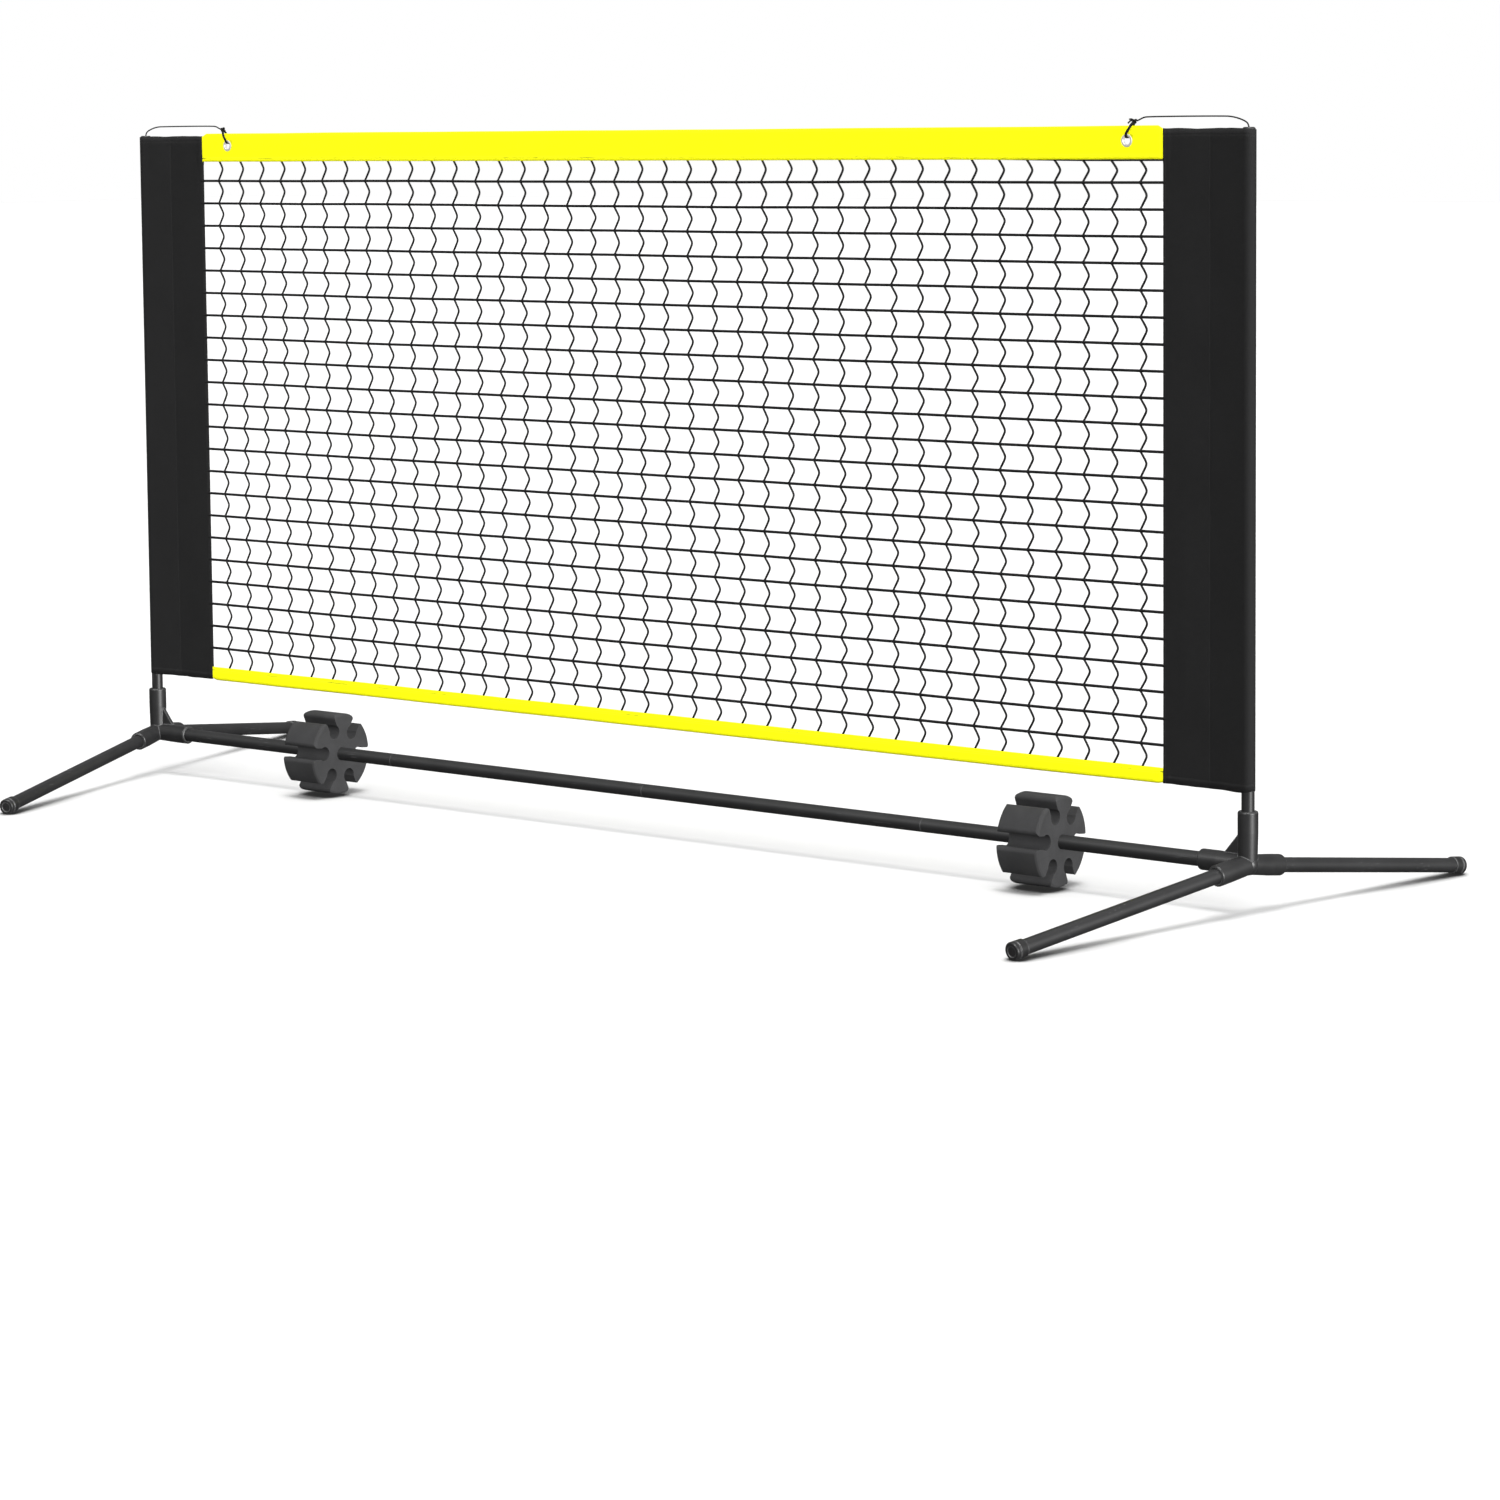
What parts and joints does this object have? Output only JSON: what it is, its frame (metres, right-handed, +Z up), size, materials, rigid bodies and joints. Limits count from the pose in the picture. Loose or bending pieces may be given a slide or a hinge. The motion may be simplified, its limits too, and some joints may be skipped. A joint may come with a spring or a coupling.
{
  "type": "portable court net",
  "caption": "Free-standing court net: a crossbar on splayed legs carries plug-in poles, a net with banded edges and fabric end sleeves, and organizers for the tubes.",
  "frame": {"origin": "on the floor under the middle of the crossbar", "axes": "+X along the net, towards the right-hand connector; +Y along the back legs; +Z up"},
  "size_m": [3.3404, 1.2454, 1.557],
  "materials": {
    "connector": "satin black moulded plastic",
    "frame_tube": "satin charcoal powder coat",
    "pole_tube": "satin black powder coat",
    "ferrule": "zinc plate",
    "cap": "matt black plastic",
    "organizer": "matt dark grey foam",
    "sleeve": "black woven polyester",
    "band": "bright yellow woven tape",
    "net": "black nylon twine",
    "eyelet": "bright nickel plate",
    "cord": "black braided cord"
  },
  "bodies": {
    "base": {"connector_left": "connector", "connector_right": "connector", "crossbar_section_1": "frame_tube", "crossbar_section_2": "frame_tube", "crossbar_section_3": "frame_tube", "crossbar_section_4": "frame_tube", "crossbar_ferrule_1": "ferrule", "crossbar_ferrule_2": "ferrule", "crossbar_ferrule_3": "ferrule"},
    "net_frame": {"pole_lower_left": "pole_tube", "pole_upper_left": "pole_tube", "pole_lower_right": "pole_tube", "pole_upper_right": "pole_tube", "pole_ferrule_left": "ferrule", "pole_ferrule_right": "ferrule", "pole_cap_left": "cap", "pole_cap_right": "cap", "sleeve_left": "sleeve", "sleeve_right": "sleeve", "top_band": "band", "bottom_band": "band", "net_mesh": "net", "eyelet_left": "eyelet", "eyelet_right": "eyelet", "tension_cord_left": "cord", "tension_cord_right": "cord", "cord_loop_left": "cord", "cord_loop_right": "cord", "cord_knot_left": "cord", "cord_knot_right": "cord"},
    "leg_front_left_body": {"leg_front_left": "frame_tube", "end_cap_front_left": "cap"},
    "leg_back_left_body": {"leg_back_left": "frame_tube", "end_cap_back_left": "cap"},
    "leg_front_right_body": {"leg_front_right": "frame_tube", "end_cap_front_right": "cap"},
    "leg_back_right_body": {"leg_back_right": "frame_tube", "end_cap_back_right": "cap"},
    "organizer_left_body": {"organizer_left": "organizer"},
    "organizer_right_body": {"organizer_right": "organizer"}
  },
  "joints": [
    {"name": "net_lift", "type": "slide", "parent": "base", "child": "net_frame", "axis": [0, 0, 1], "range_m": [0, 0.084]},
    {"name": "leg_front_left_pull", "type": "slide", "parent": "base", "child": "leg_front_left_body", "axis": [0.2231, -0.9663, -0.1287], "range_m": [0, 0.07]},
    {"name": "leg_back_left_pull", "type": "slide", "parent": "base", "child": "leg_back_left_body", "axis": [-0.2231, 0.9663, -0.1287], "range_m": [0, 0.07]},
    {"name": "leg_front_right_pull", "type": "slide", "parent": "base", "child": "leg_front_right_body", "axis": [-0.2231, -0.9663, -0.1287], "range_m": [0, 0.07]},
    {"name": "leg_back_right_pull", "type": "slide", "parent": "base", "child": "leg_back_right_body", "axis": [0.2231, 0.9663, -0.1287], "range_m": [0, 0.07]},
    {"name": "organizer_left_slide", "type": "slide", "parent": "base", "child": "organizer_left_body", "axis": [1, 0, 0], "range_m": [-0.398, 0.9]},
    {"name": "organizer_right_slide", "type": "slide", "parent": "base", "child": "organizer_right_body", "axis": [1, 0, 0], "range_m": [-0.975, 0.323]}
  ]
}
